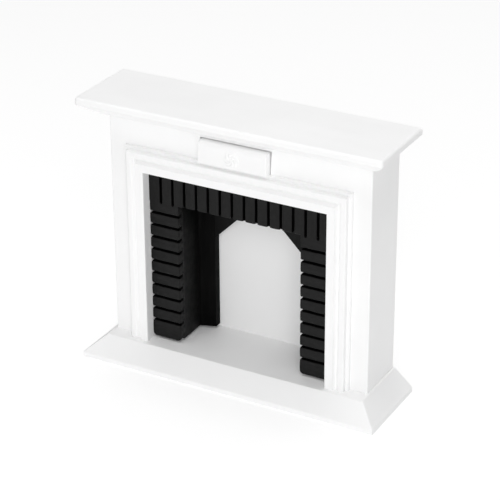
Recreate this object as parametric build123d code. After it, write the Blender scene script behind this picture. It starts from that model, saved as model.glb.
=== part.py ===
from build123d import *
import os

# Miniature fireplace mantel, 1:12 dolls' house scale, built from thin painted boards and
# mouldings round a black brick-effect firebox. Millimetres. The origin is on the floor under the
# middle of the object. +Z is up, -Y is the front and +X is the right-hand end.

os.makedirs("parts", exist_ok=True)

# ---- driving dimensions ----
overall_height = 95.5  # floor to shelf top
shelf_width = 110.6
shelf_depth = 29.8
shelf_thickness = 2.2
shelf_nose_radius = 0.95
shelf_under_radius = 0.12
shelf_corner_radius = 1.4

base_width = 110.2
base_depth = 31.3
base_height = 7.5
base_lip = 1.7  # upright edge under the bevel
base_round = 0.7
base_top_width = 97.2
base_top_depth = 25.1

body_width = 95.7
body_depth = 20.1
front_board = 3.6  # thickness of the stiles and the frieze board
side_board = 3.2
back_board = 1.85
board_round = 0.45  # front corners of the body
back_round = 0.3  # outer back corner of each side panel

opening_width = 67.4
opening_top = 70.6

architrave_width = 7.9
architrave_proud = 3.4  # inner flat, in front of the stiles
architrave_groove_proud = 1.9
architrave_bead_proud = 2.9
architrave_step_proud = 1.2
architrave_flat = 2.9  # width of the inner flat
architrave_groove_at = 3.8  # from the opening's edge to the bottom of the groove
architrave_bead_at = 5.0  # from the opening's edge to the start of the bead
architrave_step_at = 6.7  # from the opening's edge to the outer step
architrave_round = 0.4
architrave_fall = (0.35, 0.9)  # control point of the curve down into the groove, from its two ends
architrave_ease = 0.5  # how far each curve runs flat at the bottom of the groove
architrave_rise = 0.7  # how far the rising curve runs flat before the bead

bed_moulding_height = 6.1
bed_moulding_setback = 0.06  # behind the shelf's nose
bed_moulding_bulge = 0.5  # how far the profile's control point stands off its chord

tablet_width = 25.0
tablet_centre = -0.5  # it sits a little left of the middle
tablet_bottom = 78.5
tablet_top = 86.05
tablet_plate = 3.8
tablet_proud = 3.0
tablet_gap_top = 0.38
tablet_gap_side_top = 0.55
tablet_gap_side_bottom = 0.2
tablet_pocket_depth = 2.6
tablet_pad_inset = 2.6
tablet_round = 0.3
tablet_top_round = 1.6

ornament_radius = 2.9
ornament_relief = 0.3
ornament_petals = 6
ornament_button = 0.34  # this and the three below are shares of the ornament's radius
petal_at = 0.6
petal_half_length = 0.4
petal_half_width = 0.25

insert_recess = 0.5  # brick faces behind the stiles' front
insert_bottom = 8.4
brick_thickness = 3.1
jamb_inner = 22.7  # middle of the opening to a jamb's inner face
lintel_bottom = 59.2
groove_width = 0.9
groove_depth = 1.1
soldier_pitch = 4.48
soldier_grooves = 14
soldier_shift = -0.15  # the upright grooves sit a little left of the middle
course_pitch = 4.5
course_grooves = 10
first_course = 54.9  # height of the top horizontal groove
course_shift = 0.3  # the left jamb's grooves are this much higher, the right one's lower
jamb_groove_foot = 58.9  # where the upright grooves above a jamb end
brick_backing = 0.8  # plain plate behind the bricks
brick_bulge = 0.2  # how far a brick's end curves out
brick_corner = 0.35
brick_foot_corner = 0.9  # lower corners of the lowest brick
brick_round = 0.22

cheek_board = 2.0
roof_board = 2.0
rear_opening_half = 17.3
rear_opening_shoulder = 42.6  # height where the 45 degree corner starts
rear_corner_size = 9.0
rear_frame_depth = 2.8
rear_splay = 1.8  # how much further forward an upright is where it meets a cheek

corner_block_size = 5.0
corner_block_height = 60.0
cleat_height = 6.0
cleat_depth = 5.0

overshoot = 2.0  # extra length on shapes that are trimmed afterwards, and on cutters
near = 0.01  # an edge this close to a plane lies on it

# ---- places worked out from them ----
back_plane = base_depth / 2
body_front = back_plane - body_depth
board_back = body_front + front_board
back_panel_front = back_plane - back_board
body_half = body_width / 2
opening_half = opening_width / 2
shelf_bottom = overall_height - shelf_thickness
shelf_front = back_plane - shelf_depth
insert_front = body_front + insert_recess
insert_back = insert_front + brick_thickness
frame_front = back_panel_front - rear_frame_depth


def box_between(low, high):
    """A plain block from its lowest to its highest corner."""
    size = [high[i] - low[i] for i in range(3)]
    centre = [(high[i] + low[i]) / 2 for i in range(3)]
    return Pos(*centre) * Box(*size)


def plate_xz(points, y_low, y_high):
    """A flat plate: its outline in X and Z, its thickness along Y."""
    outline = Plane.XZ * make_face(Polyline(*points, close=True))
    return Pos(0, y_high, 0) * extrude(outline, amount=y_high - y_low)


def plate_xy(points, z_low, z_high):
    """A flat plate: its outline in X and Y, its thickness along Z."""
    outline = make_face(Polyline(*points, close=True))
    return Pos(0, 0, z_low) * extrude(outline, amount=z_high - z_low)


def both_hands(make):
    """The right-hand piece and its mirror image."""
    right = make()
    return {"right": right, "left": mirror(right, about=Plane.YZ)}


# ---- base ----
def base_board():
    """Solid board: an upright lip, then a bevel on the front and both ends."""
    half_bottom = base_width / 2
    half_top = base_top_width / 2
    top_front = back_plane - base_top_depth
    lip = box_between((-half_bottom, -back_plane, 0), (half_bottom, back_plane, base_lip))
    lower = make_face(Polyline(
        (-half_bottom, -back_plane, base_lip), (half_bottom, -back_plane, base_lip),
        (half_bottom, back_plane, base_lip), (-half_bottom, back_plane, base_lip), close=True))
    upper = make_face(Polyline(
        (-half_top, top_front, base_height), (half_top, top_front, base_height),
        (half_top, back_plane, base_height), (-half_top, back_plane, base_height), close=True))
    board = lip + loft([lower, upper], ruled=True)
    rounded = [
        edge for edge in board.edges()
        if edge.center().Z > base_lip - near and edge.center().Y < back_plane - near]
    return fillet(rounded, base_round)


# ---- body boards ----
def round_front_corners(board):
    """Softens the upright front edges that are the body's outer corners."""
    corners = [
        edge for edge in board.edges().filter_by(Axis.Z)
        if edge.center().Y < body_front + near and abs(edge.center().X) > body_half - near]
    return fillet(corners, board_round)


def front_stile():
    stile = box_between((opening_half, body_front, base_height), (body_half, board_back, opening_top))
    return round_front_corners(stile)


def frieze_board():
    """Board across the opening's head, with the housing that the tablet sits over."""
    board = box_between((-body_half, body_front, opening_top), (body_half, board_back, shelf_bottom))
    return round_front_corners(board) - tablet_housing()


def tablet_housing():
    """The recess behind the tablet: a little wider than it, and wider still at the top."""
    half = tablet_width / 2
    low = tablet_bottom
    high = tablet_top + tablet_gap_top
    corners = [
        (-half - tablet_gap_side_bottom, low), (half + tablet_gap_side_bottom, low),
        (half + tablet_gap_side_top, high), (-half - tablet_gap_side_top, high)]
    housing = plate_xz(corners, body_front - tablet_proud * 2, body_front + tablet_pocket_depth)
    return Pos(tablet_centre, 0, 0) * housing


def side_panel():
    """Its outer back corner is softened."""
    panel = box_between(
        (body_half - side_board, board_back, base_height), (body_half, back_plane, shelf_bottom))
    corner = [
        edge for edge in panel.edges().filter_by(Axis.Z)
        if edge.center().X > body_half - near and edge.center().Y > back_plane - near]
    return fillet(corner, back_round)


def back_panel():
    half = body_half - side_board
    return box_between((-half, back_panel_front, base_height), (half, back_plane, shelf_bottom))


# ---- architrave ----
def architrave_profile():
    """The moulding's section as (distance from the opening's edge, height above the stiles)."""
    groove = (architrave_groove_at, architrave_groove_proud)
    flat_end = (architrave_flat, architrave_proud)
    bead_start = (architrave_bead_at, architrave_bead_proud)
    fall_start = (flat_end[0] + architrave_fall[0], groove[1] + architrave_fall[1])
    rise_end = (bead_start[0] - architrave_rise, bead_start[1])
    bead_end = architrave_step_at - architrave_round
    step_end = architrave_width - architrave_round
    outline = [
        Line((0, 0), (0, architrave_proud - architrave_round)),
        RadiusArc((0, architrave_proud - architrave_round), (architrave_round, architrave_proud),
                  architrave_round),
        Line((architrave_round, architrave_proud), flat_end),
        Bezier(flat_end, fall_start, (groove[0] - architrave_ease, groove[1]), groove),
        Bezier(groove, (groove[0] + architrave_ease, groove[1]), rise_end, bead_start),
        Line(bead_start, (bead_end, architrave_bead_proud)),
        RadiusArc((bead_end, architrave_bead_proud),
                  (architrave_step_at, architrave_bead_proud - architrave_round), architrave_round),
        Line((architrave_step_at, architrave_bead_proud - architrave_round),
             (architrave_step_at, architrave_step_proud)),
        Line((architrave_step_at, architrave_step_proud), (step_end, architrave_step_proud)),
        RadiusArc((step_end, architrave_step_proud),
                  (architrave_width, architrave_step_proud - architrave_round), architrave_round),
        Line((architrave_width, architrave_step_proud - architrave_round), (architrave_width, 0)),
        Line((architrave_width, 0), (0, 0)),
    ]
    return make_face(Curve() + outline)


def architrave_upright():
    """Right-hand length, square at the foot and mitred at the head."""
    # The section's first axis points along +X and its second along -Y.
    section_plane = Plane(origin=(opening_half, body_front, base_height), x_dir=(1, 0, 0), z_dir=(0, 0, -1))
    length = opening_top + architrave_width - base_height
    strip = extrude(section_plane * architrave_profile(), amount=-length)
    mitre = [
        (opening_half, base_height), (opening_half + architrave_width, base_height),
        (opening_half + architrave_width, opening_top + architrave_width), (opening_half, opening_top)]
    return strip & plate_xz(mitre, body_front - 2 * architrave_proud, body_front)


def architrave_top():
    """Length over the opening, mitred at both ends."""
    outer_half = opening_half + architrave_width
    outer_top = opening_top + architrave_width
    # The section's first axis points up and its second along -Y.
    section_plane = Plane(origin=(-outer_half, body_front, opening_top), x_dir=(0, 0, 1), z_dir=(1, 0, 0))
    strip = extrude(section_plane * architrave_profile(), amount=2 * outer_half)
    mitre = [
        (-opening_half, opening_top), (opening_half, opening_top),
        (outer_half, outer_top), (-outer_half, outer_top)]
    return strip & plate_xz(mitre, body_front - 2 * architrave_proud, body_front)


# ---- shelf and the moulding under it ----
def shelf_slab(z_low, z_high):
    """The shelf's outline, with its front corners rounded, between two heights."""
    half = shelf_width / 2
    slab = box_between((-half, shelf_front, z_low), (half, back_plane, z_high))
    corners = [edge for edge in slab.edges().filter_by(Axis.Z) if edge.center().Y < 0]
    return fillet(corners, shelf_corner_radius)


def nose_edges(slab, level):
    """The front and end edges of the shelf at one height."""
    return [
        edge for edge in slab.edges()
        if edge.center().Y < back_plane - near and abs(edge.center().Z - level) < near]


def mantel_shelf():
    board = shelf_slab(shelf_bottom, overall_height)
    board = fillet(nose_edges(board, overall_height), shelf_nose_radius)
    return fillet(nose_edges(board, shelf_bottom), shelf_under_radius)


def bed_moulding_section(reach):
    """A shallow convex flare: its foot is on the body and its head runs out under the shelf."""
    foot = (0, 0)
    head = (reach, bed_moulding_height)
    # The control point's sideways share scales with the reach, so that the ends mitre exactly.
    full_reach = shelf_depth - body_depth - bed_moulding_setback
    chord = (full_reach ** 2 + bed_moulding_height ** 2) ** 0.5
    bulge_out = bed_moulding_bulge * bed_moulding_height / chord
    bulge_down = bed_moulding_bulge * full_reach / chord
    control = (reach / 2 + bulge_out * reach / full_reach, bed_moulding_height / 2 - bulge_down)
    outline = [
        Bezier(foot, control, head),
        Line(head, (0, bed_moulding_height)),
        Line((0, bed_moulding_height), foot),
    ]
    return make_face(Curve() + outline)


def moulding_corner():
    """Where the mitre starts at the body's corner and ends under the shelf's corner."""
    side_reach = shelf_width / 2 - body_half - bed_moulding_setback
    front_reach = shelf_depth - body_depth - bed_moulding_setback
    return side_reach, front_reach


def bed_moulding_front():
    side_reach, front_reach = moulding_corner()
    outer_half = body_half + side_reach
    foot_height = shelf_bottom - bed_moulding_height
    section_plane = Plane(origin=(-outer_half, body_front, foot_height), x_dir=(0, -1, 0), z_dir=(-1, 0, 0))
    strip = extrude(section_plane * bed_moulding_section(front_reach), amount=-2 * outer_half)
    mitre = [
        (-body_half, body_front), (body_half, body_front),
        (outer_half, body_front - front_reach), (-outer_half, body_front - front_reach)]
    strip &= plate_xy(mitre, foot_height - overshoot, shelf_bottom)
    return strip & shelf_slab(foot_height - overshoot, shelf_bottom)


def bed_moulding_side():
    side_reach, front_reach = moulding_corner()
    foot_height = shelf_bottom - bed_moulding_height
    length = body_depth + front_reach
    section_plane = Plane(origin=(body_half, back_plane, foot_height), x_dir=(1, 0, 0), z_dir=(0, -1, 0))
    strip = extrude(section_plane * bed_moulding_section(side_reach), amount=length)
    mitre = [
        (body_half, body_front), (body_half, back_plane),
        (body_half + side_reach, back_plane), (body_half + side_reach, body_front - front_reach)]
    strip &= plate_xy(mitre, foot_height - overshoot, shelf_bottom)
    return strip & shelf_slab(foot_height - overshoot, shelf_bottom)


# ---- tablet ----
def frieze_tablet():
    half = tablet_width / 2
    front = body_front - tablet_proud
    plate = box_between((-half, front, tablet_bottom), (half, front + tablet_plate, tablet_top))
    top_edge = plate.edges().group_by(Axis.Y)[0].sort_by(Axis.Z)[-1]
    plate = fillet(top_edge, tablet_top_round)
    plate = fillet(plate.edges().group_by(Axis.Y)[0], tablet_round)
    return Pos(tablet_centre, 0, 0) * plate


def tablet_pad():
    half = tablet_width / 2 - tablet_pad_inset
    return box_between(
        (tablet_centre - half, body_front - tablet_proud + tablet_plate, tablet_bottom + tablet_pad_inset),
        (tablet_centre + half, body_front + tablet_pocket_depth, tablet_top - tablet_pad_inset))


def tablet_ornament():
    """A low round boss with petals round it."""
    middle = (tablet_bottom + tablet_top - tablet_top_round / 2) / 2
    flower = Circle(ornament_radius * ornament_button)
    petal = Ellipse(ornament_radius * petal_half_length, ornament_radius * petal_half_width)
    petal = Pos(ornament_radius * petal_at, 0) * petal
    for number in range(ornament_petals):
        flower += Rot(0, 0, 360 / ornament_petals * number) * petal
    centre = (tablet_centre, body_front - tablet_proud, middle)
    tablet_face = Plane(origin=centre, x_dir=(1, 0, 0), z_dir=(0, -1, 0))
    return extrude(tablet_face * flower, amount=ornament_relief)


# ---- brick insert ----
def groove_positions():
    """Places of the upright grooves across the lintel, from left to right."""
    first = soldier_shift - (soldier_grooves - 1) / 2 * soldier_pitch
    return [first + soldier_pitch * number for number in range(soldier_grooves)]


def brick_from(outline, foot_corner=brick_corner):
    """One brick face standing on the backing plate, with its corners and front edges rounded."""
    rows = outline.vertices().group_by(Axis.Y)
    outline = fillet(rows[-1], brick_corner)
    outline = fillet(outline.vertices().group_by(Axis.Y)[0], foot_corner)
    face = Plane.XZ * outline
    thickness = brick_thickness - brick_backing
    brick = Pos(0, insert_front + thickness, 0) * extrude(face, amount=thickness)
    return fillet(brick.edges().group_by(Axis.Y)[0], brick_round)


def stretcher(low, high, foot_corner=brick_corner):
    """A jamb's brick: both of its ends curve out."""
    left = jamb_inner + brick_bulge
    right = opening_half - brick_bulge
    middle = (low + high) / 2
    outline = make_face(Curve() + [
        Line((left, low), (right, low)),
        ThreePointArc((right, low), (opening_half, middle), (right, high)),
        Line((right, high), (left, high)),
        ThreePointArc((left, high), (jamb_inner, middle), (left, low)),
    ])
    return brick_from(outline, foot_corner)


def soldier(left, right, over_opening):
    """An upright brick of the lintel. Over the opening its foot curves out."""
    foot = lintel_bottom + brick_bulge if over_opening else jamb_groove_foot - overshoot
    middle = (left + right) / 2
    top = opening_top + overshoot
    bottom_edge = Line((left, foot), (right, foot))
    if over_opening:
        bottom_edge = ThreePointArc((left, foot), (middle, lintel_bottom), (right, foot))
    outline = make_face(Curve() + [
        bottom_edge, Line((right, foot), (right, top)), Line((right, top), (left, top)),
        Line((left, top), (left, foot)),
    ])
    return brick_from(outline)


def brick_lintel():
    """Soldier course on its backing plate."""
    backing_front = insert_back - brick_backing
    half = opening_half
    lintel = box_between((-half, backing_front, lintel_bottom), (half, insert_back, opening_top))
    core_front = insert_front + groove_depth
    core_foot = lintel_bottom + brick_bulge
    lintel += box_between((-half, core_front, core_foot), (half, backing_front, opening_top))
    edges = [-opening_half] + groove_positions() + [opening_half]
    for left, right in zip(edges[:-1], edges[1:]):
        left += groove_width / 2 if left > -opening_half else 0
        right -= groove_width / 2 if right < opening_half else 0
        lintel += soldier(left, right, max(abs(left), abs(right)) < jamb_inner)
    keep = box_between(
        (-opening_half, insert_front - overshoot, lintel_bottom), (opening_half, insert_back, opening_top))
    return lintel & keep


def jamb_groove(x):
    """A round-ended cutter that carries one of the lintel's grooves into the top of a jamb."""
    half = groove_width / 2
    core_front = insert_front + groove_depth
    centre = jamb_groove_foot + half
    bar = box_between(
        (x - half, insert_front - overshoot, centre), (x + half, core_front, lintel_bottom + overshoot))
    end = Pos(x, core_front, centre) * Rot(90, 0, 0) * Cylinder(
        half, groove_depth + overshoot, align=(Align.CENTER, Align.CENTER, Align.MIN))
    return bar + end


def brick_jamb(side):
    """Stack of stretcher courses on its backing plate, under a plain band.

    It is built on the right. With side = -1 its grooves are the left-hand jamb's, mirrored.
    """
    backing_front = insert_back - brick_backing
    jamb = box_between(
        (jamb_inner, backing_front, insert_bottom), (opening_half, insert_back, lintel_bottom))
    jamb += box_between(
        (jamb_inner + groove_depth, insert_front + groove_depth, insert_bottom + groove_depth),
        (opening_half - groove_depth, backing_front, lintel_bottom))
    half = groove_width / 2
    top_groove = first_course - side * course_shift
    grooves = [top_groove - course_pitch * number for number in range(course_grooves)]
    jamb += stretcher(grooves[0] + half, lintel_bottom + 2 * overshoot)
    for upper, lower in zip(grooves[:-1], grooves[1:]):
        jamb += stretcher(lower + half, upper - half)
    jamb += stretcher(insert_bottom, grooves[-1] - half, brick_foot_corner)
    for x in groove_positions():
        if side * x > jamb_inner:
            jamb -= jamb_groove(side * x)
    keep = box_between(
        (jamb_inner, insert_front - overshoot, insert_bottom), (opening_half, insert_back, lintel_bottom))
    return jamb & keep


def brick_jamb_right():
    return brick_jamb(1)


def brick_jamb_left():
    return mirror(brick_jamb(-1), about=Plane.YZ)


def upright_plan():
    """Plan of a rear upright: its front face splays back towards the middle."""
    return [
        (rear_opening_half, back_panel_front), (jamb_inner, back_panel_front),
        (jamb_inner, frame_front - rear_splay), (rear_opening_half, frame_front)]


def firebox_cheek():
    return box_between(
        (jamb_inner, insert_back, insert_bottom),
        (jamb_inner + cheek_board, back_panel_front, lintel_bottom))


def firebox_roof():
    half = jamb_inner + cheek_board
    return box_between(
        (-half, insert_back, lintel_bottom), (half, back_panel_front, lintel_bottom + roof_board))


def rear_upright():
    return plate_xy(upright_plan(), insert_bottom, lintel_bottom)


def rear_corner():
    """Plate across the firebox's top corner, with a 45 degree lower edge."""
    inner = rear_opening_half - rear_corner_size
    outline = [
        (rear_opening_half, rear_opening_shoulder), (rear_opening_half, lintel_bottom),
        (inner, lintel_bottom), (inner, rear_opening_shoulder + rear_corner_size)]
    return plate_xz(outline, frame_front, back_panel_front)


def rear_head():
    """Plate between the two corners."""
    half = rear_opening_half - rear_corner_size
    bottom = rear_opening_shoulder + rear_corner_size
    return box_between((-half, frame_front, bottom), (half, back_panel_front, lintel_bottom))


# ---- hidden joinery ----
def corner_block():
    """Glue block where a stile meets a side panel."""
    outer = body_half - side_board
    return box_between(
        (outer - corner_block_size, board_back, base_height),
        (outer, board_back + corner_block_size, base_height + corner_block_height))


def shelf_cleat():
    """Rail glued behind the frieze and under the shelf."""
    half = body_half - side_board
    return box_between(
        (-half, board_back, shelf_bottom - cleat_height), (half, board_back + cleat_depth, shelf_bottom))


# ---- write every piece ----
single_pieces = {
    "base_board": base_board,
    "frieze_board": frieze_board,
    "back_panel": back_panel,
    "architrave_top": architrave_top,
    "mantel_shelf": mantel_shelf,
    "bed_moulding_front": bed_moulding_front,
    "frieze_tablet": frieze_tablet,
    "tablet_pad": tablet_pad,
    "tablet_ornament": tablet_ornament,
    "brick_lintel": brick_lintel,
    "brick_jamb_left": brick_jamb_left,
    "brick_jamb_right": brick_jamb_right,
    "firebox_roof": firebox_roof,
    "rear_head": rear_head,
    "shelf_cleat": shelf_cleat,
}
handed_pieces = {
    "front_stile": front_stile,
    "side_panel": side_panel,
    "architrave": architrave_upright,
    "bed_moulding": bed_moulding_side,
    "firebox_cheek": firebox_cheek,
    "rear_upright": rear_upright,
    "rear_corner": rear_corner,
    "corner_block": corner_block,
}

for name, make in single_pieces.items():
    export_step(make(), f"parts/{name}.step")
for name, make in handed_pieces.items():
    for hand, piece in both_hands(make).items():
        export_step(piece, f"parts/{name}_{hand}.step")
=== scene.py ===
import math

import bmesh
import bpy
from mathutils import Matrix, Vector, noise


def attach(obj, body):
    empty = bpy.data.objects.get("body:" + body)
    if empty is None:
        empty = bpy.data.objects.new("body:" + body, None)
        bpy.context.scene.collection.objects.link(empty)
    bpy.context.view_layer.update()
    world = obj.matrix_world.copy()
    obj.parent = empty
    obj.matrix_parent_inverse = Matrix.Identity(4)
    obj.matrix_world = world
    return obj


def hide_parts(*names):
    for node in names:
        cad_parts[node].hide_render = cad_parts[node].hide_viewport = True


# Looks for the miniature fireplace mantel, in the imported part's frame: +Z is up, -Y is the front
# and +X is the right-hand end. Blender's unit is the metre. The brick and rosette sizes are in
# millimetres, as are the functions that use them.

MM = 0.001

# ---- camera and studio ----
CAMERA_AZIMUTH = math.radians(28.614)
CAMERA_ELEVATION = math.radians(26.529)
CAMERA_ROLL = math.radians(-0.287)
CAMERA_DISTANCE = 0.6599
CAMERA_TARGET = Vector((-0.00639, 0.01565, 0.03849))
CAMERA_LENS = 140.12
SENSOR_WIDTH = 36.0
FLOOR_HALF = 1.5
FLOOR_GREY = (0.45, 0.45, 0.45, 1)
FLOOR_GLOW = 0.62
SURROUNDINGS = 0.2  # strength of the white surroundings
LIGHT_TARGET = (0, 0, 0.05)
LIGHT_SIZE = 0.7
LIGHTS = {  # name: (place, watts)
    "overhead": ((0.0, -0.15, 1.0), 3.6),
    "behind": ((0.0, 0.35, 0.95), 2.9),
    "front_right": ((0.42, -0.88, 0.52), 4.8),
    "front": ((0.1, -1.0, 0.3), 0.5),
}

# ---- finishes ----
ALONG_X = (0.08, 1.0, 1.0)  # texture scales that stretch the grain along one axis
ALONG_Y = (1.0, 0.08, 1.0)
ALONG_Z = (1.0, 1.0, 0.08)
EVEN = (1.0, 1.0, 1.0)
WOOD_GRAIN = (0.12, 1.0, 0.12)
NOISE_MIDDLE = (0.3, 0.7)  # most of a noise lies between these
WHITE_DARK = (0.95, 0.95, 0.95)
WHITE_LIGHT = (0.97, 0.97, 0.97)
BLACK_DARK = (0.001, 0.001, 0.001)
BLACK_LIGHT = (0.004, 0.004, 0.004)
WOOD_DARK = (0.62, 0.46, 0.29)
WOOD_LIGHT = (0.76, 0.62, 0.43)
BRICK_SHINE = 0.23
# The firebox's inner pieces take the same black paint with less shine than the bricks' faces:
# painted shade, darkest on the rear uprights.
CHEEK_SHADE_SHINE = 0.13
CORNER_SHADE_SHINE = 0.17
UPRIGHT_SHADE_SHINE = 0.03
# no shine on the groove floors: painted shade in the grooves
GROOVE_SHADE_SHINE = 0.0

# ---- the brick insert, as the part has it ----
OPENING_HALF = 33.7
JAMB_INNER = 22.7
INSERT_FRONT = -3.95
BACKING_FRONT = -1.65
INSERT_BACK = -0.85
INSERT_FOOT = 8.4
LINTEL_FOOT = 59.2
TOP_BAND_END = 60.2  # where the top band's end curve would stop, behind the lintel
INSERT_TOP = 70.6
FIRST_COURSE = 54.9
COURSE_PITCH = 4.5
COURSE_COUNT = 10
COURSE_SHIFT = 0.3
SOLDIER_PITCH = 4.48
SOLDIER_COUNT = 14
SOLDIER_SHIFT = -0.15
GROOVE_END = 58.9
GROOVE_DEPTH = 1.1
FOOT_CORNER = 0.9
END_CURVE = 0.2  # how far a brick's end stands out in its middle

COURSE_GROOVES = [FIRST_COURSE - COURSE_PITCH * number for number in range(COURSE_COUNT)]
SOLDIER_GROOVES = [
    SOLDIER_PITCH * (number - (SOLDIER_COUNT - 1) / 2) + SOLDIER_SHIFT
    for number in range(SOLDIER_COUNT)]

# ---- finer detail on the bricks ----
BRICK_CELL = 0.24  # largest face on a brick
GROOVE_HALF = 0.48
GROOVE_WALL = 0.06  # how far a groove's wall leans
GROOVE_SHOULDER = 0.2  # radius where a wall meets the face
SHOULDER_STEPS = (0.12, 0.35, 0.65, 1.0)
GROOVE_SHADE_DEPTHS = (0.35, 1.2)  # a face between these depths is down in a groove and gets the shineless black: painted shade
EDGE_ROUND = 0.25
EDGE_STEPS = (0, 0.35, 0.7, 1)
END_CURVE_POWER = 2.5
GRAIN_FINE_HEIGHT = 0.025
GRAIN_SLOW_HEIGHT = 0.03
GRAIN_INSET = 0.03  # keeps the raised grain behind the face's plane
GRAIN_LONG = 0.35  # noise cycles per millimetre along a brick
GRAIN_ACROSS = 2.6
GRAIN_SLOW = 0.5
GRAIN_ROUGHNESS = (0.8, 2.2, 4)  # the fractal's increment, lacunarity and octaves
WANDER = 0.07  # how far a groove strays from straight
WANDER_PACE = 0.45
WANDER_FADE = 1.5  # distance from an edge over which the straying dies away
FINE_SLICE = 7.0  # which slice of the noise each kind of detail takes
SLOW_SLICE = 3.0
COURSE_SLICE = 11.0
SOLDIER_SLICE = 23.0
END_FACING = 0.7  # a face that leans further along its brick belongs to the end
SHARP_ANGLE = math.radians(50)
BACKING_STEP = 0.05  # how far in front of the backing plate the bricks' sides stop

# ---- the rosette on the tablet ----
ROSETTE_RADIUS = 2.9
ROSETTE_RELIEF = 0.3
ROSETTE_PETALS = 6
ROSETTE_TWIST = 1.1
ROSETTE_RINGS = 24
ROSETTE_SPOKES = 120
BUTTON_SHARE = 0.24
BUTTON_RIM = 0.75  # height at the button's rim, as a share of its middle
PETAL_NOTCH = 0.1  # how far the outline dips between two petals
PETAL_POWER = 0.8  # below 1, a petal is fuller across than a plain wave
SWELL_START = 0.1  # how far into its rise a petal leaves the button
SWELL_POWER = 0.6
RIB_HEIGHT = 0.12
LEAST_HEIGHT = 0.02


# ---- camera, floor and light ----
def add_camera():
    data = bpy.data.cameras.new("camera")
    data.lens = CAMERA_LENS
    data.sensor_width = SENSOR_WIDTH
    data.clip_end = 20.0
    camera = bpy.data.objects.new("camera", data)
    bpy.context.scene.collection.objects.link(camera)
    away = Vector((
        math.sin(CAMERA_AZIMUTH) * math.cos(CAMERA_ELEVATION),
        -math.cos(CAMERA_AZIMUTH) * math.cos(CAMERA_ELEVATION),
        math.sin(CAMERA_ELEVATION)))
    level_right = Vector((0, 0, 1)).cross(away).normalized()
    level_up = away.cross(level_right)
    right = math.cos(CAMERA_ROLL) * level_right + math.sin(CAMERA_ROLL) * level_up
    up = away.cross(right)
    place = Matrix((right, up, away)).transposed().to_4x4()
    place.translation = CAMERA_TARGET + CAMERA_DISTANCE * away
    camera.matrix_world = place
    bpy.context.scene.camera = camera


def add_floor():
    mesh = bpy.data.meshes.new("floor")
    corners = [(-FLOOR_HALF, -FLOOR_HALF, 0), (FLOOR_HALF, -FLOOR_HALF, 0),
               (FLOOR_HALF, FLOOR_HALF, 0), (-FLOOR_HALF, FLOOR_HALF, 0)]
    mesh.from_pydata(corners, [], [(0, 1, 2, 3)])
    floor = bpy.data.objects.new("floor", mesh)
    bpy.context.scene.collection.objects.link(floor)
    material = bpy.data.materials.new("pale_floor")
    material.use_nodes = True
    shader = material.node_tree.nodes["Principled BSDF"]
    shader.inputs["Base Color"].default_value = FLOOR_GREY
    shader.inputs["Roughness"].default_value = 0.9
    shader.inputs["Specular IOR Level"].default_value = 0.1
    shader.inputs["Emission Color"].default_value = (1, 1, 1, 1)
    shader.inputs["Emission Strength"].default_value = FLOOR_GLOW
    mesh.materials.append(material)


def add_area_light(name, place, watts):
    data = bpy.data.lights.new(name, "AREA")
    data.shape = "SQUARE"
    data.size = LIGHT_SIZE
    data.energy = watts
    light = bpy.data.objects.new(name, data)
    bpy.context.scene.collection.objects.link(light)
    direction = Vector(LIGHT_TARGET) - Vector(place)
    light.rotation_euler = direction.to_track_quat("-Z", "Y").to_euler()
    light.location = place


def add_lights():
    world = bpy.data.worlds.new("studio")
    world.use_nodes = True
    background = world.node_tree.nodes["Background"]
    background.inputs["Color"].default_value = (1, 1, 1, 1)
    background.inputs["Strength"].default_value = SURROUNDINGS
    bpy.context.scene.world = world
    for name, (place, watts) in LIGHTS.items():
        add_area_light(name, place, watts)
    bpy.context.scene.view_settings.view_transform = "Standard"


# ---- node helpers ----
def new_material(name):
    material = bpy.data.materials.new(name)
    material.use_nodes = True
    nodes = material.node_tree.nodes
    return material, nodes, material.node_tree.links, nodes["Principled BSDF"]


def object_coordinates(nodes, links, scale=EVEN):
    """Object coordinates. A small scale along an axis draws the texture out along it."""
    source = nodes.new("ShaderNodeTexCoord")
    mapping = nodes.new("ShaderNodeMapping")
    mapping.inputs["Scale"].default_value = scale
    links.new(source.outputs["Object"], mapping.inputs["Vector"])
    return mapping.outputs["Vector"]


def noise_node(nodes, links, vector, scale, detail=3.0, roughness=0.5):
    texture = nodes.new("ShaderNodeTexNoise")
    texture.inputs["Scale"].default_value = scale
    texture.inputs["Detail"].default_value = detail
    texture.inputs["Roughness"].default_value = roughness
    links.new(vector, texture.inputs["Vector"])
    return texture.outputs["Fac"]


def between(nodes, links, factor, low, high):
    """Spreads the middle of a noise over low to high."""
    spread = nodes.new("ShaderNodeMapRange")
    spread.inputs["From Min"].default_value = NOISE_MIDDLE[0]
    spread.inputs["From Max"].default_value = NOISE_MIDDLE[1]
    spread.inputs["To Min"].default_value = low
    spread.inputs["To Max"].default_value = high
    links.new(factor, spread.inputs["Value"])
    return spread.outputs["Result"]


def colour_between(nodes, links, factor, first, second):
    ramp = nodes.new("ShaderNodeValToRGB")
    for element, place, colour in zip(ramp.color_ramp.elements, NOISE_MIDDLE, (first, second)):
        element.position = place
        element.color = (*colour, 1)
    links.new(factor, ramp.inputs["Fac"])
    return ramp.outputs["Color"]


def bump(nodes, links, height, distance, under=None):
    node = nodes.new("ShaderNodeBump")
    node.inputs["Strength"].default_value = 1.0
    node.inputs["Distance"].default_value = distance
    links.new(height, node.inputs["Height"])
    if under is not None:
        links.new(under, node.inputs["Normal"])
    return node.outputs["Normal"]


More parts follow.
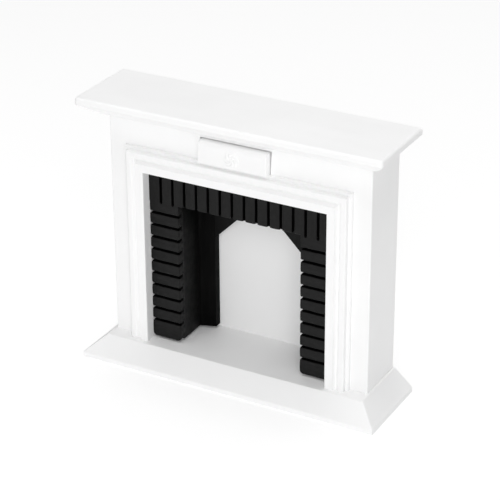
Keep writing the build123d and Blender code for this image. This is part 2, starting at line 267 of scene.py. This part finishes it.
# ---- materials ----
def white_paint(name, stroke):
    """Satin white paint: slow shade changes, brush strokes along the board, fine orange peel."""
    material, nodes, links, shader = new_material(name)
    plain = object_coordinates(nodes, links)
    along = object_coordinates(nodes, links, stroke)
    shade = noise_node(nodes, links, plain, scale=60.0)
    links.new(
        colour_between(nodes, links, shade, WHITE_DARK, WHITE_LIGHT),
        shader.inputs["Base Color"])
    gloss = noise_node(nodes, links, along, scale=260.0)
    links.new(between(nodes, links, gloss, low=0.42, high=0.55), shader.inputs["Roughness"])
    shader.inputs["Specular IOR Level"].default_value = 0.45
    strokes = noise_node(nodes, links, along, scale=900.0, detail=4.0)
    peel = noise_node(nodes, links, plain, scale=1600.0, detail=2.0)
    brushed = bump(nodes, links, strokes, distance=0.02 * MM)
    finished = bump(nodes, links, peel, distance=0.01 * MM, under=brushed)
    links.new(finished, shader.inputs["Normal"])
    return material


def black_finish(name, grain, shine):
    """Matte black moulding with fine grain that runs one way. A lower shine on some copies is
    painted shade.
    """
    material, nodes, links, shader = new_material(name)
    plain = object_coordinates(nodes, links)
    along = object_coordinates(nodes, links, grain)
    shade = noise_node(nodes, links, along, scale=700.0, detail=4.0)
    links.new(
        colour_between(nodes, links, shade, BLACK_DARK, BLACK_LIGHT),
        shader.inputs["Base Color"])
    gloss = noise_node(nodes, links, plain, scale=500.0)
    links.new(between(nodes, links, gloss, low=0.42, high=0.58), shader.inputs["Roughness"])
    shader.inputs["Specular IOR Level"].default_value = shine
    ridges = noise_node(nodes, links, along, scale=1500.0, detail=5.0, roughness=0.6)
    links.new(bump(nodes, links, ridges, distance=0.05 * MM), shader.inputs["Normal"])
    return material


def bare_wood(name):
    """Sanded softwood: pale, with darker grain lines along the length."""
    material, nodes, links, shader = new_material(name)
    along = object_coordinates(nodes, links, WOOD_GRAIN)
    wave = nodes.new("ShaderNodeTexWave")
    wave.bands_direction = "Y"
    wave.inputs["Scale"].default_value = 500.0
    wave.inputs["Distortion"].default_value = 6.0
    wave.inputs["Detail"].default_value = 3.0
    links.new(along, wave.inputs["Vector"])
    links.new(
        colour_between(nodes, links, wave.outputs["Fac"], WOOD_DARK, WOOD_LIGHT),
        shader.inputs["Base Color"])
    fibres = noise_node(nodes, links, along, scale=1800.0, detail=5.0)
    links.new(between(nodes, links, fibres, low=0.55, high=0.75), shader.inputs["Roughness"])
    links.new(bump(nodes, links, fibres, distance=0.03 * MM), shader.inputs["Normal"])
    return material


def dress(names, material):
    for name in names:
        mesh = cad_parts[name].data
        mesh.materials.clear()
        mesh.materials.append(material)


# ---- brick insert ----
def grid_lines(low, high, grooves=()):
    """Places from low to high: close together round each groove, evenly spread elsewhere."""
    steps = [0, GROOVE_HALF - GROOVE_WALL, GROOVE_HALF]
    steps += [GROOVE_HALF + GROOVE_SHOULDER * share for share in SHOULDER_STEPS]
    marks = {low, high}
    for groove in grooves:
        for step in steps:
            marks.update(place for place in (groove - step, groove + step) if low < place < high)
    marks = sorted(marks)
    lines = [low]
    for start, stop in zip(marks[:-1], marks[1:]):
        count = math.ceil((stop - start) / BRICK_CELL)
        lines += [start + (stop - start) * (number + 1) / count for number in range(count)]
    return lines


def depth_lines():
    """Places from the bricks' front to the back of the backing plate."""
    rounding = [INSERT_FRONT + EDGE_ROUND * step for step in EDGE_STEPS]
    backing = [BACKING_FRONT - BACKING_STEP, BACKING_FRONT, INSERT_BACK]
    return rounding + [INSERT_FRONT + GROOVE_DEPTH] + backing


def grid_box(lines):
    """A closed box with its faces split along the given places on each axis."""
    shape = bmesh.new()
    corners = {}

    def corner(index):
        if index not in corners:
            corners[index] = shape.verts.new([lines[axis][index[axis]] for axis in range(3)])
        return corners[index]

    for axis in range(3):
        first, second = (axis + 1) % 3, (axis + 2) % 3
        for side in (0, len(lines[axis]) - 1):
            for a in range(len(lines[first]) - 1):
                for b in range(len(lines[second]) - 1):
                    quad = []
                    for step_a, step_b in ((0, 0), (1, 0), (1, 1), (0, 1)):
                        index = [0, 0, 0]
                        index[axis] = side
                        index[first] = a + step_a
                        index[second] = b + step_b
                        quad.append(corner(tuple(index)))
                    shape.faces.new(quad if side else quad[::-1])
    return shape


def arc_fall(left, radius):
    """How far a round corner has fallen away, with this much of its width still to go."""
    left = max(0, min(radius, left))
    return radius - math.sqrt(radius ** 2 - left ** 2)


def groove_depth_at(distance):
    """How deep the face lies at a distance from a groove's middle line."""
    past_wall = distance - GROOVE_HALF
    if past_wall >= GROOVE_SHOULDER:
        return 0
    if past_wall >= 0:
        return arc_fall(GROOVE_SHOULDER - past_wall, GROOVE_SHOULDER)
    share = min(1, -past_wall / GROOVE_WALL)
    return GROOVE_SHOULDER + (GROOVE_DEPTH - GROOVE_SHOULDER) * share


def soldier_groove_distance(x, z):
    """Distance to the nearest upright groove. Over the jambs the grooves have round ends."""
    nearest = min(SOLDIER_GROOVES, key=lambda groove: abs(x - groove))
    end = GROOVE_END + GROOVE_HALF
    if abs(nearest) < JAMB_INNER or z > end:
        return abs(x - nearest)
    return math.hypot(x - nearest, z - end)


def curve_between(place, stops):
    """How far a brick's end falls back: nothing in its middle, most at the stops beside it."""
    stops = sorted(stops)
    for start, stop in zip(stops[:-1], stops[1:]):
        if start <= place <= stop:
            return END_CURVE * abs(2 * (place - start) / (stop - start) - 1) ** END_CURVE_POWER
    return 0


def round_edge(across, depth):
    """Rounds the edge where a side (across = 0) meets the front (depth = 0)."""
    if across >= EDGE_ROUND or depth >= EDGE_ROUND:
        return across, depth
    out = Vector((EDGE_ROUND - across, EDGE_ROUND - depth))
    out *= EDGE_ROUND / out.length
    return EDGE_ROUND - out[0], EDGE_ROUND - out[1]


def grain_at(x, z, lies_flat):
    """Fine ridges that run along a brick, with slower waves under them."""
    pace_x, pace_z = (GRAIN_LONG, GRAIN_ACROSS) if lies_flat else (GRAIN_ACROSS, GRAIN_LONG)
    fine = noise.fractal(Vector((x * pace_x, FINE_SLICE, z * pace_z)), *GRAIN_ROUGHNESS)
    slow = noise.noise(Vector((x * GRAIN_SLOW, SLOW_SLICE, z * GRAIN_SLOW)))
    return GRAIN_FINE_HEIGHT * fine + GRAIN_SLOW_HEIGHT * slow


def wander_at(x, z, slice_place, edge_distance):
    """How far a point strays sideways, dying away towards the piece's edges."""
    fade = max(0, min(1, edge_distance / WANDER_FADE))
    return fade * WANDER * noise.noise(Vector((x * WANDER_PACE, slice_place, z * WANDER_PACE)))


def pushed_back(depth, rounded_depth, cut, grain):
    """A point's depth behind the face plane once it is rounded, grooved and grained.

    The cut dies away towards the backing plate, and the grain towards a groove's floor.
    """
    cut_share = 1 - depth / (BACKING_FRONT - INSERT_FRONT)
    grain_share = max(0, 1 - depth / GROOVE_DEPTH)
    return rounded_depth + cut * cut_share + (GRAIN_INSET + grain) * grain_share


def paint_groove_shade(shape, end_axis):
    """Gives faces down in the grooves the second material, a shineless copy of the black that is
    painted shade. Faces on the bricks' ends keep theirs.
    """
    shape.normal_update()
    for face in shape.faces:
        depth = face.calc_center_median().y - INSERT_FRONT
        on_end = abs(face.normal[end_axis]) > END_FACING
        if GROOVE_SHADE_DEPTHS[0] < depth < GROOVE_SHADE_DEPTHS[1] and not on_end:
            face.material_index = 1


def jamb_point(point, side, grooves):
    """Where a point of the right-hand box goes on the jamb."""
    x, y, z = point
    depth = max(0, y - INSERT_FRONT)
    half_width = (OPENING_HALF - JAMB_INNER) / 2
    on_inner_half = x < JAMB_INNER + half_width
    across = x - JAMB_INNER if on_inner_half else OPENING_HALF - x
    edge_distance = min(across, z - INSERT_FOOT, LINTEL_FOOT - z)
    course_cut = groove_depth_at(min(abs(z - groove) for groove in grooves))
    end_cut = course_cut + curve_between(z, [INSERT_FOOT, *grooves, TOP_BAND_END])
    end_cut += arc_fall(FOOT_CORNER - (z - INSERT_FOOT), FOOT_CORNER)
    across, rounded_depth = round_edge(across, depth)
    across = end_cut + across * (half_width - end_cut) / half_width
    cut = max(course_cut, groove_depth_at(soldier_groove_distance(side * x, z)))
    placed_x = side * (JAMB_INNER + across if on_inner_half else OPENING_HALF - across)
    return (
        placed_x,
        INSERT_FRONT + pushed_back(depth, rounded_depth, cut, grain_at(x, z, True)),
        z + wander_at(placed_x, z, COURSE_SLICE, edge_distance))


def jamb_shape(side):
    """A jamb: a stack of stretchers under a plain band. The left one (side = -1) is mirrored."""
    over_jamb = [side * groove for groove in SOLDIER_GROOVES if side * groove > JAMB_INNER]
    grooves = [groove - side * COURSE_SHIFT for groove in COURSE_GROOVES]
    shape = grid_box((
        grid_lines(JAMB_INNER, OPENING_HALF, over_jamb),
        depth_lines(),
        grid_lines(INSERT_FOOT, LINTEL_FOOT, grooves)))
    for vert in shape.verts:
        if vert.co.y > BACKING_FRONT - BACKING_STEP / 2:
            vert.co.x *= side
        else:
            vert.co = jamb_point(vert.co, side, grooves)
    paint_groove_shade(shape, 0)
    return shape


def lintel_point(point):
    """Where a point of the box goes on the lintel."""
    x, y, z = point
    depth = max(0, y - INSERT_FRONT)
    lift, rounded_depth = z - LINTEL_FOOT, depth
    edge_distance = min(OPENING_HALF - abs(x), lift)
    if abs(x) < JAMB_INNER:
        height = INSERT_TOP - LINTEL_FOOT
        foot_cut = curve_between(x, SOLDIER_GROOVES)
        lift, rounded_depth = round_edge(lift, depth)
        lift = foot_cut + lift * (height - foot_cut) / height
    cut = groove_depth_at(soldier_groove_distance(x, z))
    return (
        x + wander_at(x, z, SOLDIER_SLICE, edge_distance),
        INSERT_FRONT + pushed_back(depth, rounded_depth, cut, grain_at(x, z, False)),
        LINTEL_FOOT + lift)


def lintel_shape():
    """The soldier course. Over the opening each brick's foot curves down a little."""
    shape = grid_box((
        grid_lines(-OPENING_HALF, OPENING_HALF, SOLDIER_GROOVES),
        depth_lines(),
        grid_lines(LINTEL_FOOT, INSERT_TOP)))
    for vert in shape.verts:
        if vert.co.y < BACKING_FRONT - BACKING_STEP / 2:
            vert.co = lintel_point(vert.co)
    paint_groove_shade(shape, 2)
    return shape


# ---- rosette ----
def rosette_height(share, angle):
    """Relief at a share of the radius: a domed button with curling petals round it."""
    if share < BUTTON_SHARE:
        return BUTTON_RIM + (1 - BUTTON_RIM) * math.cos(share / BUTTON_SHARE * math.pi / 2)
    along = (share - BUTTON_SHARE) / (1 - BUTTON_SHARE)
    curl = angle + ROSETTE_TWIST * along ** 2
    across = abs(math.cos(curl * ROSETTE_PETALS / 2)) ** PETAL_POWER
    rib = RIB_HEIGHT * math.cos(curl * ROSETTE_PETALS * 2)
    swell = math.sin(math.pi * min(1, SWELL_START + along * (1 - SWELL_START))) ** SWELL_POWER
    return max(LEAST_HEIGHT, (across + rib) * swell)


def rosette_ring(shape, share, middle_x, back, middle_z):
    """One ring of points round the rosette's middle."""
    ring = []
    for spoke in range(ROSETTE_SPOKES):
        angle = 2 * math.pi * spoke / ROSETTE_SPOKES
        notch = PETAL_NOTCH * (1 - abs(math.cos(angle * ROSETTE_PETALS / 2)))
        radius = share * ROSETTE_RADIUS * (1 - notch)
        rise = ROSETTE_RELIEF * rosette_height(share, angle)
        ring.append(shape.verts.new((
            middle_x + radius * math.cos(angle), back - rise, middle_z + radius * math.sin(angle))))
    return ring


def rosette_shape():
    """A closed low relief where the part's ornament is, with a flat back on the tablet."""
    corners = [Vector(corner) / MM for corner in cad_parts["tablet_ornament"].bound_box]
    low = [min(corner[axis] for corner in corners) for axis in range(3)]
    high = [max(corner[axis] for corner in corners) for axis in range(3)]
    middle_x, back, middle_z = (low[0] + high[0]) / 2, high[1], (low[2] + high[2]) / 2
    shape = bmesh.new()
    middle = shape.verts.new((middle_x, back - ROSETTE_RELIEF * rosette_height(0, 0), middle_z))
    rings = [
        rosette_ring(shape, (number + 1) / ROSETTE_RINGS, middle_x, back, middle_z)
        for number in range(ROSETTE_RINGS)]
    rim = [shape.verts.new((vert.co.x, back, vert.co.z)) for vert in rings[-1]]
    rings.append(rim)
    for spoke in range(ROSETTE_SPOKES):
        beside = (spoke + 1) % ROSETTE_SPOKES
        shape.faces.new((middle, rings[0][spoke], rings[0][beside]))
        for inner, outer in zip(rings[:-1], rings[1:]):
            shape.faces.new((inner[spoke], outer[spoke], outer[beside], inner[beside]))
    shape.faces.new(rim)
    return shape


# ---- putting it together ----
def finish_piece(name, shape, materials, replaced):
    """Turns a shape in millimetres into a named piece that stands in for one of the part's."""
    bmesh.ops.scale(shape, vec=(MM, MM, MM), verts=shape.verts)
    bmesh.ops.recalc_face_normals(shape, faces=shape.faces)
    mesh = bpy.data.meshes.new(name)
    shape.to_mesh(mesh)
    shape.free()
    for material in materials:
        mesh.materials.append(material)
    mesh.shade_smooth()
    mesh.set_sharp_from_angle(angle=SHARP_ANGLE)
    piece = bpy.data.objects.new(name, mesh)
    bpy.context.scene.collection.objects.link(piece)
    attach(piece, "root")
    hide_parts(replaced)


def dress_part():
    """Gives every piece carried over from the part its finish."""
    dress(["base_board", "mantel_shelf", "frieze_board", "architrave_top", "bed_moulding_front",
           "frieze_tablet"], white_paint("white_paint_along_x", ALONG_X))
    dress(["bed_moulding_left", "bed_moulding_right"], white_paint("white_paint_along_y", ALONG_Y))
    dress(["architrave_left", "architrave_right", "front_stile_left", "front_stile_right",
           "side_panel_left", "side_panel_right", "back_panel"],
          white_paint("white_paint_along_z", ALONG_Z))
    # the inner pieces' lower shine is painted shade
    dress(["firebox_cheek_left", "firebox_cheek_right", "firebox_roof"],
          black_finish("black_cheek_painted_shade", ALONG_Z, CHEEK_SHADE_SHINE))
    dress(["rear_corner_left", "rear_corner_right", "rear_head"],
          black_finish("black_corner_painted_shade", ALONG_Z, CORNER_SHADE_SHINE))
    dress(["rear_upright_left", "rear_upright_right"],
          black_finish("black_upright_painted_shade", ALONG_Z, UPRIGHT_SHADE_SHINE))
    dress(["corner_block_left", "corner_block_right", "shelf_cleat", "tablet_pad"],
          bare_wood("bare_wood"))


def add_bricks():
    # the grooves take the same black without shine, as painted shade
    groove = black_finish("black_groove_painted_shade", ALONG_Z, GROOVE_SHADE_SHINE)
    flat = [black_finish("black_brick_along_x", ALONG_X, BRICK_SHINE), groove]
    upright = [black_finish("black_brick_along_z", ALONG_Z, BRICK_SHINE), groove]
    finish_piece("jamb_bricks_left", jamb_shape(-1), flat, "brick_jamb_left")
    finish_piece("jamb_bricks_right", jamb_shape(1), flat, "brick_jamb_right")
    finish_piece("lintel_bricks", lintel_shape(), upright, "brick_lintel")


def add_rosette():
    paint = [white_paint("white_paint_rosette", EVEN)]
    finish_piece("tablet_rosette", rosette_shape(), paint, "tablet_ornament")


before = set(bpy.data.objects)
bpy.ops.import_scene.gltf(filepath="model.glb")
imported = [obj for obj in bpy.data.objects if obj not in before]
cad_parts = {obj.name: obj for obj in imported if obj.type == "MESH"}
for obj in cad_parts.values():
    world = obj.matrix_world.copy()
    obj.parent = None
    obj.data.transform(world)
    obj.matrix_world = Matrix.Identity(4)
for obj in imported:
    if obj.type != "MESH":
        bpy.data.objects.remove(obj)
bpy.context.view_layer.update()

dress_part()
add_bricks()
add_rosette()
add_camera()
add_floor()
add_lights()
